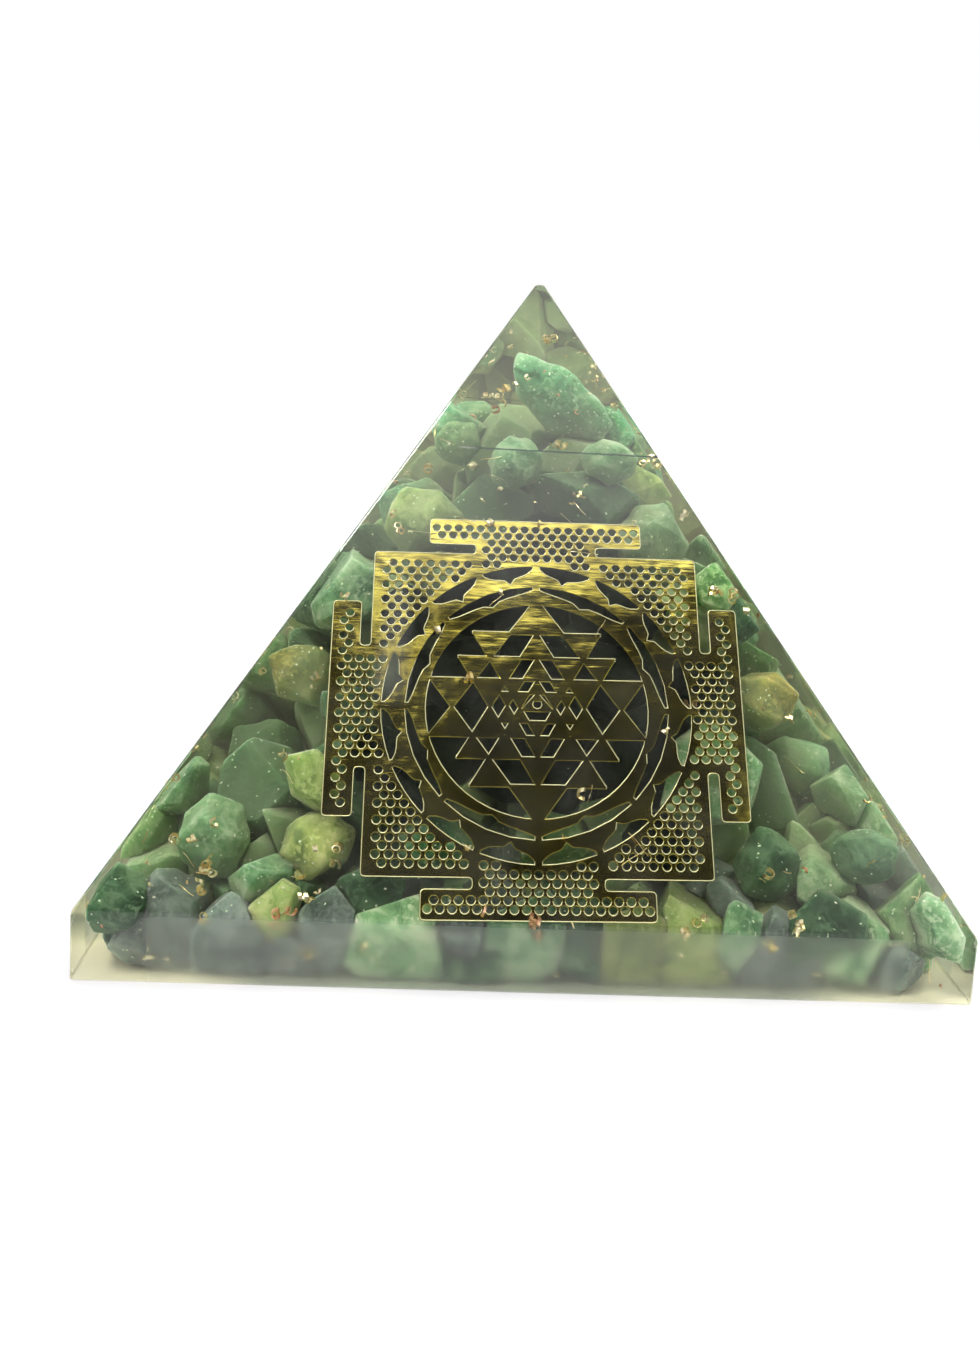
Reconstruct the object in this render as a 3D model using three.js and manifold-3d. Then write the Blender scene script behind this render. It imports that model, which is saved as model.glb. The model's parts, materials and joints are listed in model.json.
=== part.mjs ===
// A clear resin pyramid with a pierced metal shri yantra plate cast just under its front face,
// and green aventurine chips and curled metal turnings set all through it.
// Millimetres, +Z up, front face towards -Y, origin at the middle of the underside.

import * as THREE from "three";
import { mergeVertices } from "three/addons/utils/BufferGeometryUtils.js";
import { ConvexGeometry } from "three/addons/geometries/ConvexGeometry.js";
import Module from "manifold-3d";

// The cast pyramid
const baseWidth = 71;
const mouldDraft = 0.3;
const plinthHeight = 5.7;
const slopeHeight = 50;
const tipWidth = 0.8;

// The pours of resin: a first one, one in the tip, and pours of one height between them
const basePourHeight = 10;
const tipPourHeight = 15.2;
const middlePours = 3;

// The space in the resin around each piece that is set in it, wider at a stone's corners
const castGap = 0.3;
const cornerRoom = 1.4;

// The shri yantra plate: a square with a T-shaped gate on each side
const plateThickness = 0.3;
const plateDepth = 0.8;
const plateRise = 18;
const plateShift = 0.2;
const plateTilt = 0.019;
const squareHalf = 14.16;
const gateSlot = 0.94;
const gateArmWidth = 2.4;
const gateArmHalf = 9.38;
const gateNeckHalf = 5.3;
const plateCorner = 0.35;

// The nine triangles of the shri yantra, each by its apex, its base line and half its base, all as
// shares of the radius of the disc that they fill
const discRadius = 9.4;
const yantraTriangles = [
  { apex: 1.053, base: -0.266, half: 0.957 },
  { apex: 0.723, base: -0.461, half: 0.702 },
  { apex: 0.473, base: -0.128, half: 0.356 },
  { apex: 0.261, base: -0.71, half: 0.585 },
  { apex: 0.133, base: -0.016, half: 0.128 },
  { apex: -1.053, base: 0.266, half: 0.957 },
  { apex: -0.713, base: 0.476, half: 0.702 },
  { apex: -0.266, base: 0.716, half: 0.574 },
  { apex: -0.461, base: 0.141, half: 0.335 },
];
const yantraBar = 0.28;
const binduRadius = 0.4;
const binduHeight = 0.38;
const binduTip = 0.68;
const binduShoulder = 0.2 * Math.PI;

// The two rings of lotus petals round the disc. Going outwards, each has a band of metal, the
// petals' own length and the gap to its rim, and the bridges that part its openings.
const innerLotus = { petals: 8, band: 0.45, length: 1, gap: 0.27, bridge: 0.3 };
const outerLotus = { petals: 16, band: 0.38, length: 1.35, gap: 0.25, bridge: 0.32 };
const petalPoint = 0.5;
const petalPointFall = 4;
const petalFlankFall = 3;

// The stones: how far the resin covers them, the resin between the plate's space and a stone
// behind it, and the corners of each tumbled chip
const stoneCover = 0.9;
const plateBacking = 0.6;
const stoneCorners = 15;
const stoneRoughness = 0.2;
const firstSeed = 11;
const seedStep = 7;

// The turnings: a square strip bent to an arc
const turningWidth = 0.5;
const turningBend = 1.9;
const turningSteps = 5;

// How finely the plate's round outlines are drawn
const cornerSteps = 3;
const discSteps = 28;

const stoneFinish = { roughness: 0.35, metalness: 0 };
const finishes = {
  resin: { color: 0xb9c4a4, roughness: 0.05, metalness: 0 },
  plate: { color: 0xb59b43, roughness: 0.32, metalness: 1 },
  brass: { color: 0xc9a75c, roughness: 0.3, metalness: 1 },
  copper: { color: 0xb9714a, roughness: 0.3, metalness: 1 },
  teal: { color: 0x3f9a76, ...stoneFinish },
  sea: { color: 0x7fa886, ...stoneFinish },
  green: { color: 0x4d7f4c, ...stoneFinish },
  dark: { color: 0x2f4a3a, ...stoneFinish },
  olive: { color: 0x85803a, ...stoneFinish },
  lime: { color: 0x93ab62, ...stoneFinish },
};

const wasm = await Module();
wasm.setup();

// Turns a closed geometry into a solid that can be joined and cut.
function solidOf(geometry) {
  const bare = geometry.clone();
  bare.deleteAttribute("normal");
  bare.deleteAttribute("uv");
  const merged = mergeVertices(bare);
  const corners = merged.getIndex().array;
  const faces = [];
  for (let i = 0; i < corners.length; i += 3) {
    const [a, b, c] = corners.slice(i, i + 3);
    if (a !== b && b !== c && c !== a) {
      faces.push(a, b, c);
    }
  }
  const vertProperties = new Float32Array(merged.getAttribute("position").array);
  const triVerts = new Uint32Array(faces);
  return new wasm.Manifold(new wasm.Mesh({ numProp: 3, vertProperties, triVerts }));
}

function geometryOf(solid) {
  const { vertProperties, triVerts } = solid.getMesh();
  const geometry = new THREE.BufferGeometry();
  geometry.setAttribute("position", new THREE.BufferAttribute(new Float32Array(vertProperties), 3));
  geometry.setIndex(new THREE.BufferAttribute(new Uint32Array(triVerts), 1));
  geometry.computeVertexNormals();
  return geometry;
}

function piece(name, geometry, finish) {
  const mesh = new THREE.Mesh(geometry, new THREE.MeshStandardMaterial(finish));
  mesh.name = name;
  return mesh;
}

// A repeatable series of numbers from 0 to 1.
function seriesFrom(seed) {
  let state = seed;
  return () => {
    state = (state + 0x6d2b79f5) | 0;
    let mixed = Math.imul(state ^ (state >>> 15), 1 | state);
    mixed = (mixed + Math.imul(mixed ^ (mixed >>> 7), 61 | mixed)) ^ mixed;
    return ((mixed ^ (mixed >>> 14)) >>> 0) / 4294967296;
  };
}

// The pyramid's own geometry
const shoulderHalf = baseWidth / 2;
const topHeight = plinthHeight + slopeHeight;
const middlePourHeight = (topHeight - tipPourHeight - basePourHeight) / middlePours;
const pourLevels = [];
for (let index = 0; index <= middlePours; index += 1) {
  pourLevels.push(basePourHeight + index * middlePourHeight);
}
const slopeAngle = Math.atan2(slopeHeight, shoulderHalf - tipWidth / 2);
const faceNormal = new THREE.Vector3(0, -Math.sin(slopeAngle), Math.cos(slopeAngle));
const faceUp = new THREE.Vector3(0, Math.cos(slopeAngle), Math.sin(slopeAngle));
const upwards = new THREE.Vector3(0, 0, 1);
const frontToBack = new THREE.Vector3(0, 1, 0);

function halfWidthAt(height) {
  return tipWidth / 2 + (topHeight - height) / Math.tan(slopeAngle);
}

function pyramidSolid() {
  const sides = 4;
  const cornerReach = Math.SQRT2;
  const profile = [
    new THREE.Vector2(0, 0),
    new THREE.Vector2((shoulderHalf + mouldDraft) * cornerReach, 0),
    new THREE.Vector2(shoulderHalf * cornerReach, plinthHeight),
    new THREE.Vector2((tipWidth / 2) * cornerReach, topHeight),
    new THREE.Vector2(0, topHeight),
  ];
  return solidOf(new THREE.LatheGeometry(profile, sides, Math.PI / sides).rotateX(Math.PI / 2));
}

function slabSolid(low, high) {
  const width = 2 * (baseWidth + mouldDraft);
  return solidOf(new THREE.BoxGeometry(width, width, high - low).translate(0, 0, (low + high) / 2));
}

// The plate's outline, grown on all sides for the space that it is cast in.
function plateOutline(growth) {
  const edge = squareHalf + growth;
  const neck = gateNeckHalf + growth;
  const armInner = squareHalf + gateSlot - growth;
  const armEnd = gateArmHalf + growth;
  const reach = squareHalf + gateSlot + gateArmWidth + growth;
  const side = [
    [-edge, edge],
    [-neck, edge],
    [-neck, armInner],
    [-armEnd, armInner],
    [-armEnd, reach],
    [armEnd, reach],
    [armEnd, armInner],
    [neck, armInner],
    [neck, edge],
  ];
  const corners = [];
  for (let quarter = 0; quarter < 4; quarter += 1) {
    for (const [x, y] of side) {
      corners.push(new THREE.Vector2(x, y).rotateAround(new THREE.Vector2(), -quarter * (Math.PI / 2)));
    }
  }
  return corners;
}

// A closed outline whose corners are rounded.
function roundedShape(corners, radius) {
  const shape = new THREE.Shape();
  const count = corners.length;
  corners.forEach((corner, index) => {
    const before = corners[(index + count - 1) % count];
    const after = corners[(index + 1) % count];
    const inset = Math.min(radius, corner.distanceTo(before) / 2, corner.distanceTo(after) / 2);
    const start = corner.clone().add(before.clone().sub(corner).setLength(inset));
    const end = corner.clone().add(after.clone().sub(corner).setLength(inset));
    if (index === 0) {
      shape.moveTo(start.x, start.y);
    } else {
      shape.lineTo(start.x, start.y);
    }
    shape.quadraticCurveTo(corner.x, corner.y, end.x, end.y);
  });
  shape.closePath();
  return shape;
}

function prism(shape, depth, curveSegments) {
  return new THREE.ExtrudeGeometry(shape, { depth, bevelEnabled: false, curveSegments });
}

// A cutter stands proud of both faces of the plate by the plate's thickness.
function cutterSolid(shape, curveSegments = cornerSteps) {
  const proud = plateThickness;
  return solidOf(prism(shape, plateThickness + 2 * proud, curveSegments).translate(0, 0, -proud));
}

// How far a petal's edge has fallen from its pointed tip, at 0, to the valley beside it, at 1.
function petalFall(along) {
  const point = petalPoint * (1 - along) ** petalPointFall;
  return point + (1 - petalPoint) * Math.sqrt(1 - along ** petalFlankFall);
}

function lotusRim(lotus, inner) {
  return inner + lotus.band + lotus.length + lotus.gap;
}

function polar(radius, angle) {
  return new THREE.Vector2(radius * Math.cos(angle), radius * Math.sin(angle));
}

// The opening between two neighbouring petals and the rim outside them. inner is the radius that
// the ring of petals starts from.
function petalOpening(lotus, inner, index) {
  const valley = inner + lotus.band;
  const rim = lotusRim(lotus, inner);
  const pitch = (2 * Math.PI) / lotus.petals;
  const start = Math.PI / 2 + index * pitch;
  const bridgeAngle = lotus.bridge / rim;
  const arcSteps = 4;
  const flankSteps = 5;
  const outline = [];
  for (let step = 0; step <= arcSteps; step += 1) {
    const angle = start + bridgeAngle + (step / arcSteps) * (pitch - 2 * bridgeAngle);
    outline.push(polar(rim, angle));
  }
  for (let step = -flankSteps; step <= flankSteps; step += 1) {
    const along = 1 - Math.abs(step) / flankSteps;
    const radius = valley + lotus.length * petalFall(along);
    const angle = start + pitch / 2 - (step / flankSteps) * (pitch / 2 - bridgeAngle);
    outline.push(polar(radius, angle));
  }
  return new THREE.Shape(outline);
}

// A thin bar along one edge of a triangle, which joins the cells that meet at its ends.
function barSolid(from, to) {
  const across = to.clone().sub(from).setLength(yantraBar / 2);
  const side = new THREE.Vector2(-across.y, across.x);
  const first = from.clone().sub(across);
  const last = to.clone().add(across);
  const corners = [
    first.clone().sub(side),
    last.clone().sub(side),
    last.clone().add(side),
    first.clone().add(side),
  ];
  return cutterSolid(new THREE.Shape(corners));
}

// The metal inside the disc: each cell that an odd number of the nine triangles covers.
function yantraSolid() {
  let cells = null;
  let bars = null;
  for (const triangle of yantraTriangles) {
    const corners = [
      new THREE.Vector2(0, triangle.apex).multiplyScalar(discRadius),
      new THREE.Vector2(-triangle.half, triangle.base).multiplyScalar(discRadius),
      new THREE.Vector2(triangle.half, triangle.base).multiplyScalar(discRadius),
    ];
    const whole = cutterSolid(new THREE.Shape(corners));
    cells = cells ? cells.add(whole).subtract(cells.intersect(whole)) : whole;
    corners.forEach((corner, index) => {
      const bar = barSolid(corner, corners[(index + 1) % corners.length]);
      bars = bars ? bars.add(bar) : bar;
    });
  }
  return cells.add(bars);
}

function discSolid() {
  const disc = new THREE.Shape();
  disc.absarc(0, 0, discRadius, 0, 2 * Math.PI, false);
  return cutterSolid(disc, discSteps);
}

function binduSolid() {
  const drop = new THREE.Shape();
  drop.moveTo(0, binduHeight + binduTip);
  drop.absarc(0, binduHeight, binduRadius, Math.PI - binduShoulder, 2 * Math.PI + binduShoulder, false);
  drop.closePath();
  return cutterSolid(drop);
}

function plateGeometry() {
  let plate = solidOf(prism(roundedShape(plateOutline(0), plateCorner), plateThickness, cornerSteps));
  let inner = discRadius;
  for (const lotus of [innerLotus, outerLotus]) {
    for (let index = 0; index < lotus.petals; index += 1) {
      plate = plate.subtract(cutterSolid(petalOpening(lotus, inner, index)));
    }
    inner = lotusRim(lotus, inner);
  }
  plate = plate.subtract(discSolid().subtract(yantraSolid()));
  return geometryOf(plate.subtract(binduSolid()));
}

// Where the plate's back lies: parallel to the front face and just under it.
function platePlacement() {
  const origin = new THREE.Vector3(plateShift, -shoulderHalf, plinthHeight)
    .addScaledVector(faceUp, plateRise)
    .addScaledVector(faceNormal, -(plateDepth + plateThickness));
  const turn = new THREE.Matrix4().makeRotationZ(plateTilt);
  const lie = new THREE.Matrix4().makeBasis(new THREE.Vector3(1, 0, 0), faceUp, faceNormal);
  return lie.setPosition(origin).multiply(turn);
}

function slotSolid() {
  const depth = plateThickness + 2 * castGap;
  const slot = prism(new THREE.Shape(plateOutline(castGap)), depth, 1).translate(0, 0, -castGap);
  return solidOf(slot.applyMatrix4(platePlacement()));
}

// The stones, front first. level is the pour plane that a stone lies across, and lift is how far
// its middle is above that plane, as a share of half its height. across and deep place it between
// the left and right faces, and the front and back ones, as shares of the room that they leave it.
// lean turns it about the front-to-back axis, and a stone that is under the plate stays behind it.
const stones = [
  { level: 3, lift: 0.67, across: 0.6, deep: -1, size: [7.2, 2.9, 3.6], lean: 0.66, tone: "teal" },
  { level: 3, lift: -0.63, across: -0.25, deep: -1, size: [3.1, 2.8, 3.2], tone: "sea" },
  { level: 3, lift: -0.31, across: -1, deep: -0.72, size: [2.6, 2.5, 3], tone: "green" },
  { level: 3, lift: -0.57, across: 1, deep: -1, size: [3.6, 2.7, 2.6], tone: "sea" },
  { level: 3, lift: -0.5, across: -0.8, deep: 0.7, size: [3.2, 3.2, 3.2], tone: "teal" },
  { level: 3, lift: -0.5, across: 0.6, deep: 0.95, size: [3.5, 3.2, 3.4], tone: "green" },
  { level: 2, lift: 0.41, across: -0.96, deep: -0.86, size: [4.2, 3.6, 4.4], tone: "lime" },
  { level: 2, lift: -0.03, across: 0.12, deep: -1, size: [5.4, 4, 4.6], tone: "dark", under: true },
  { level: 2, lift: 0.25, across: 0.98, deep: -0.84, size: [4.2, 3.6, 4.6], tone: "sea" },
  { level: 2, lift: 0, across: -0.95, deep: 0.1, size: [4.6, 4.4, 4.2], tone: "teal" },
  { level: 2, lift: 0, across: 0, deep: 0.05, size: [5, 4.6, 4], tone: "olive" },
  { level: 2, lift: 0, across: 0.95, deep: 0.1, size: [4.4, 4.6, 4.4], tone: "green" },
  { level: 2, lift: 0.2, across: -0.8, deep: 1, size: [4.6, 4.2, 4.6], tone: "sea" },
  { level: 2, lift: 0.2, across: 0.15, deep: 1, size: [4.8, 4.2, 4.6], tone: "green" },
  { level: 2, lift: 0.06, across: 1, deep: 1, size: [3.8, 4, 4.2], tone: "teal" },
  { level: 1, lift: -0.18, across: -0.98, deep: -0.87, size: [3.6, 3.3, 3.6], tone: "olive" },
  { level: 1, lift: 0, across: -0.36, deep: -1, size: [4.8, 4, 4.2], tone: "dark", under: true },
  { level: 1, lift: 0, across: 0.36, deep: -1, size: [4.8, 4, 4.2], tone: "dark", under: true },
  { level: 1, lift: -0.4, across: 1, deep: -0.86, size: [3.9, 3.4, 3.2], tone: "olive" },
  { level: 1, lift: 0, across: -0.98, deep: -0.22, size: [4.8, 4.8, 4.2], tone: "green" },
  { level: 1, lift: 0, across: 0.98, deep: -0.22, size: [4.8, 4.8, 4.2], tone: "teal" },
  { level: 1, lift: 0, across: 0, deep: -0.1, size: [6, 5, 4.2], tone: "dark" },
  { level: 1, lift: 0, across: -0.98, deep: 0.42, size: [5, 4.8, 4.2], tone: "sea" },
  { level: 1, lift: 0, across: 0.98, deep: 0.42, size: [5, 4.8, 4.2], tone: "lime" },
  { level: 1, lift: 0, across: -0.66, deep: 1, size: [4.8, 4.2, 4.2], tone: "teal" },
  { level: 1, lift: 0, across: 0.02, deep: 1, size: [5.2, 4.4, 4.2], tone: "olive" },
  { level: 1, lift: 0, across: 0.68, deep: 1, size: [4.8, 4.2, 4.2], tone: "green" },
  { level: 0, lift: -0.35, across: -0.94, deep: -1, size: [3.7, 3.2, 4.6], tone: "sea" },
  { level: 0, lift: -0.4, across: -0.62, deep: -1, size: [3.5, 3.2, 3.6], tone: "lime" },
  { level: 0, lift: -0.55, across: -0.28, deep: -1, size: [4, 3, 3.2], tone: "teal", under: true },
  { level: 0, lift: -0.4, across: 0.06, deep: -1, size: [4, 3.2, 3.6], tone: "green", under: true },
  { level: 0, lift: -0.4, across: 0.38, deep: -1, size: [3.9, 3.2, 3.8], tone: "dark", under: true },
  { level: 0, lift: -0.5, across: 0.7, deep: -1, size: [3.5, 3.2, 3.8], tone: "dark" },
  { level: 0, lift: -0.4, across: 0.99, deep: -0.98, size: [3.3, 3, 2.9], tone: "dark" },
  { level: 0, lift: 0.45, across: 0.96, deep: -0.63, size: [4, 3.2, 3.6], tone: "teal" },
  { level: 0, lift: 0.4, across: -0.9, deep: -0.63, size: [4, 3.2, 3.6], tone: "dark" },
  { level: 0, lift: 0, across: -0.3, deep: -0.42, size: [6, 4.4, 3.8], tone: "olive" },
  { level: 0, lift: 0, across: 0.34, deep: -0.42, size: [6, 4.4, 3.8], tone: "green" },
  { level: 0, lift: 0, across: -0.96, deep: 0, size: [5.2, 5.6, 4], tone: "green" },
  { level: 0, lift: 0, across: 0.96, deep: 0, size: [5.2, 5.6, 4], tone: "dark" },
  { level: 0, lift: -0.04, across: -0.33, deep: 0.18, size: [6, 6, 4], tone: "teal" },
  { level: 0, lift: 0, across: 0.36, deep: 0.2, size: [6, 6, 4], tone: "sea" },
  { level: 0, lift: -0.01, across: -1, deep: 0.64, size: [5, 5.4, 4.2], tone: "teal" },
  { level: 0, lift: 0, across: 0.98, deep: 0.62, size: [5, 5.4, 4.2], tone: "olive" },
  { level: 0, lift: 0, across: -0.52, deep: 1, size: [5.4, 4.6, 4.2], tone: "sea" },
  { level: 0, lift: 0, across: 0.06, deep: 1, size: [5.8, 4.8, 4.2], tone: "green" },
  { level: 0, lift: 0, across: 0.62, deep: 1, size: [5, 4.6, 4.2], tone: "lime" },
];

// How far an ellipsoid of this size, leaning by a turn about the front-to-back axis, reaches in one
// direction from its middle.
function reachTowards(direction, size, lean) {
  const [halfX, halfY, halfZ] = size;
  const seen = direction.clone().applyAxisAngle(frontToBack, -lean);
  return Math.hypot(halfX * seen.x, halfY * seen.y, halfZ * seen.z);
}

// The middle of a piece that lies across a pour plane, between the four sloping faces.
function middleOf({ level, lift, across, deep, size, lean = 0, under = false }) {
  const height = pourLevels[level] + lift * reachTowards(upwards, size, lean);
  const roomTowards = (turn, cover) => {
    const outwards = faceNormal.clone().applyAxisAngle(upwards, turn);
    return halfWidthAt(height) - (reachTowards(outwards, size, lean) + cover) / Math.sin(slopeAngle);
  };
  const front = -roomTowards(0, under ? plateDepth + plateThickness + castGap + plateBacking : stoneCover);
  const right = roomTowards(Math.PI / 2, stoneCover);
  const back = roomTowards(Math.PI, stoneCover);
  const left = -roomTowards(-Math.PI / 2, stoneCover);
  return new THREE.Vector3(
    THREE.MathUtils.mapLinear(across, -1, 1, left, right),
    THREE.MathUtils.mapLinear(deep, -1, 1, front, back),
    height,
  );
}

// A tumbled chip: the hull of points spread evenly over an ellipsoid and drawn in by chance.
function stoneGeometry(stone, seed, growth) {
  const chance = seriesFrom(seed);
  const goldenTurn = Math.PI * (3 - Math.sqrt(5));
  const firstTurn = 2 * Math.PI * chance();
  const points = [];
  for (let index = 0; index < stoneCorners; index += 1) {
    const height = 1 - (2 * (index + 0.5)) / stoneCorners;
    const ring = Math.sqrt(1 - height * height);
    const turn = firstTurn + index * goldenTurn;
    const pull = 1 - stoneRoughness * chance();
    const point = new THREE.Vector3(ring * Math.cos(turn), ring * Math.sin(turn), height);
    point.multiplyScalar(pull).multiply(new THREE.Vector3(...stone.size));
    point.setLength(point.length() + growth);
    points.push(point.applyAxisAngle(frontToBack, stone.lean ?? 0));
  }
  return new ConvexGeometry(points);
}

// The turnings lie flat on a pour plane, each by its middle, its turn and its arc.
const turnings = [
  { level: 3, across: 0.31, deep: -1, turn: 1.75, arc: 1.5, metal: "brass" },
  { level: 3, across: -0.79, deep: 0.12, turn: 2.45, arc: 1.3, metal: "copper" },
  { level: 2, across: -0.55, deep: -0.95, turn: 0.2, arc: 1.6, metal: "brass" },
  { level: 2, across: 0.53, deep: 0.53, turn: 2.47, arc: 1.4, metal: "brass" },
  { level: 1, across: -0.72, deep: -0.97, turn: 3.3, arc: 1.4, metal: "brass" },
  { level: 1, across: 0.6, deep: -1, turn: -0.03, arc: 1.6, metal: "copper" },
  { level: 0, across: -0.6, deep: 0.28, turn: 0.82, arc: 1.5, metal: "brass" },
];

function turningGeometry(growth, arc) {
  const width = turningWidth + 2 * growth;
  const half = width / 2;
  const section = new THREE.Shape([
    new THREE.Vector2(-half, -half),
    new THREE.Vector2(half, -half),
    new THREE.Vector2(half, half),
    new THREE.Vector2(-half, half),
  ]);
  const spread = arc / 2 + growth / turningBend;
  const path = new THREE.CatmullRomCurve3(
    [-1, -0.5, 0, 0.5, 1].map((share) => {
      const angle = share * spread;
      return new THREE.Vector3(turningBend * Math.sin(angle), turningBend * (1 - Math.cos(angle)), 0);
    }),
  );
  const settings = { steps: turningSteps, bevelEnabled: false, extrudePath: path };
  return new THREE.ExtrudeGeometry(section, settings);
}

function turningPlacement(turning) {
  const size = [turningBend, turningBend, turningWidth];
  const middle = middleOf({ ...turning, lift: 0, size });
  return new THREE.Matrix4().makeRotationZ(turning.turn).setPosition(middle);
}

// The assembly
const pyramid = new THREE.Group();
const pockets = [slotSolid()];

stones.forEach((stone, index) => {
  const seed = firstSeed + seedStep * index;
  const centre = middleOf(stone);
  const chip = piece(`aventurine_chip_${index + 1}`, stoneGeometry(stone, seed, 0), finishes[stone.tone]);
  chip.position.copy(centre);
  pyramid.add(chip);
  const pocket = stoneGeometry(stone, seed, cornerRoom * castGap).translate(...centre.toArray());
  pockets.push(solidOf(pocket));
});

turnings.forEach((turning, index) => {
  const strip = geometryOf(solidOf(turningGeometry(0, turning.arc)));
  const curl = piece(`metal_turning_${index + 1}`, strip, finishes[turning.metal]);
  curl.applyMatrix4(turningPlacement(turning));
  pyramid.add(curl);
  const pocket = turningGeometry(castGap, turning.arc).applyMatrix4(turningPlacement(turning));
  pockets.push(solidOf(pocket));
});

const plate = piece("shri_yantra_plate", plateGeometry(), finishes.plate);
plate.applyMatrix4(platePlacement());
pyramid.add(plate);

const pourNames = ["base_pour", "lower_pour", "middle_pour", "upper_pour", "tip_pour"];
const whole = pyramidSolid();
const levels = [0, ...pourLevels, topHeight];
pourNames.forEach((name, index) => {
  let pour = whole.intersect(slabSolid(levels[index], levels[index + 1]));
  for (const pocket of pockets) {
    pour = pour.subtract(pocket);
  }
  pyramid.add(piece(name, geometryOf(pour), finishes.resin));
});

export default pyramid;
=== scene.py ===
import json
import math
import random

import bmesh
import bpy
from mathutils import Euler, Matrix, Vector, noise
from mathutils.bvhtree import BVHTree
from mathutils.kdtree import KDTree


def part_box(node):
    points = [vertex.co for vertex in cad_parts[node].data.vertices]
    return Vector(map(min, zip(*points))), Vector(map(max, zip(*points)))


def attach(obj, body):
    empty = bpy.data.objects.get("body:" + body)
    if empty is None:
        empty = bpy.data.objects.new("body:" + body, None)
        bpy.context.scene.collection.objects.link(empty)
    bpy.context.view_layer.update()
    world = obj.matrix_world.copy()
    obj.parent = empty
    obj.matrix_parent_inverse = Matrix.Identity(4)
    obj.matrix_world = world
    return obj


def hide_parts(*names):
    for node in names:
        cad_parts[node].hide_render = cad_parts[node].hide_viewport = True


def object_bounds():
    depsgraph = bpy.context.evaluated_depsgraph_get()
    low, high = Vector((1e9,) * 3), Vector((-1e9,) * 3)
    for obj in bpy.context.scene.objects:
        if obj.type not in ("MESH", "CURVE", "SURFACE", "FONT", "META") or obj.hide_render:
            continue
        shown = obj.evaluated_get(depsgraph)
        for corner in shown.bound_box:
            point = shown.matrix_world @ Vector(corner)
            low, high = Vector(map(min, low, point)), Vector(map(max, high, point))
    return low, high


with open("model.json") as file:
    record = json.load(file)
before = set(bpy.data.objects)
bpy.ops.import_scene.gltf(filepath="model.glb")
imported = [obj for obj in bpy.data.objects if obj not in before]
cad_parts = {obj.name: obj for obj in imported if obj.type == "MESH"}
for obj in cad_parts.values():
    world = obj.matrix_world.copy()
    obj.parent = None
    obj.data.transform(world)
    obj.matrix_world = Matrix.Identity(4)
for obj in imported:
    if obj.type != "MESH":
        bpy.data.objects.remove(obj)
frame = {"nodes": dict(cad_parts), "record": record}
cad_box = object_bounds()

# The camera
# It stands close to the object, a hand's width in front of it and a little above its middle,
# as for a photograph taken with a telephone, and looks down at it by 16 degrees.
MM = 0.001
camera_data = bpy.data.cameras.new("camera")
camera_data.lens = 26.766
camera_data.clip_start = 5 * MM
camera = bpy.data.objects.new("camera", camera_data)
camera.location = Vector((-7.56, -105.97, 45.63)) * MM
camera.rotation_euler = Euler([math.radians(turned) for turned in (73.905, -2.962, -1.733)])
bpy.context.scene.collection.objects.link(camera)
bpy.context.scene.camera = camera

# The resin body
# One casting of clear polyester resin, poured in layers into a square pyramid mould. Its slopes are
# polished, its plinth's sides are satin with clear corners, and its base was ground flat.
POURS = ["base_pour", "lower_pour", "middle_pour", "upper_pour", "tip_pour"]
high = cad_box[1]
tip_half = 0.4 * MM
plinth_height = 5.7 * MM
shoulder_half = 35.5 * MM
foot_half = high.x
edge_round = 0.2 * MM


def linear(hex_colour):
    """An sRGB hex colour as the linear values that a shader reads."""
    channels = []
    for start in (0, 2, 4):
        value = int(hex_colour[start:start + 2], 16) / 255
        channels.append(value / 12.92 if value <= 0.04045 else ((value + 0.055) / 1.055) ** 2.4)
    return (*channels, 1)


def add(material, kind, settings=None, links=None):
    """Adds a node: settings are its own values or its sockets', links are its sockets' sources."""
    node = material.node_tree.nodes.new(kind)
    for name, value in (settings or {}).items():
        if isinstance(name, str) and hasattr(node, name):
            setattr(node, name, value)
        else:
            node.inputs[name].default_value = value
    for name, source in (links or {}).items():
        material.node_tree.links.new(source, node.inputs[name])
    return node


def new_material(name):
    """A material with no nodes yet."""
    material = bpy.data.materials.new(name)
    material.use_nodes = True
    material.node_tree.nodes.clear()
    return material


def make_piece(name, mesh_builder, material, replaced):
    """Makes a piece from a bmesh, at the origin, and hides the CAD parts that it replaces."""
    mesh = bpy.data.meshes.new(name)
    mesh_builder.to_mesh(mesh)
    mesh_builder.free()
    piece = bpy.data.objects.new(name, mesh)
    bpy.context.scene.collection.objects.link(piece)
    mesh.materials.append(material)
    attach(piece, "root")
    if replaced:
        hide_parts(*replaced)
    return piece


resin = bmesh.new()
bmesh.ops.create_cube(resin, size=1)
for corner in resin.verts:
    half, level = (foot_half, 0) if corner.co.z < 0 else (shoulder_half, plinth_height)
    corner.co = Vector((math.copysign(half, corner.co.x), math.copysign(half, corner.co.y), level))
top_face = max(resin.faces, key=lambda face: face.calc_center_median().z)
raised = bmesh.ops.extrude_face_region(resin, geom=[top_face])
bmesh.ops.delete(resin, geom=[top_face], context="FACES_ONLY")
for corner in (item for item in raised["geom"] if isinstance(item, bmesh.types.BMVert)):
    left_or_right = math.copysign(tip_half, corner.co.x)
    corner.co = Vector((left_or_right, math.copysign(tip_half, corner.co.y), high.z))
bmesh.ops.recalc_face_normals(resin, faces=resin.faces)
bmesh.ops.bevel(
    resin, geom=list(resin.edges), offset=edge_round, segments=3, profile=0.5,
    affect="EDGES", material=-1, clamp_overlap=True,
)
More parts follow.
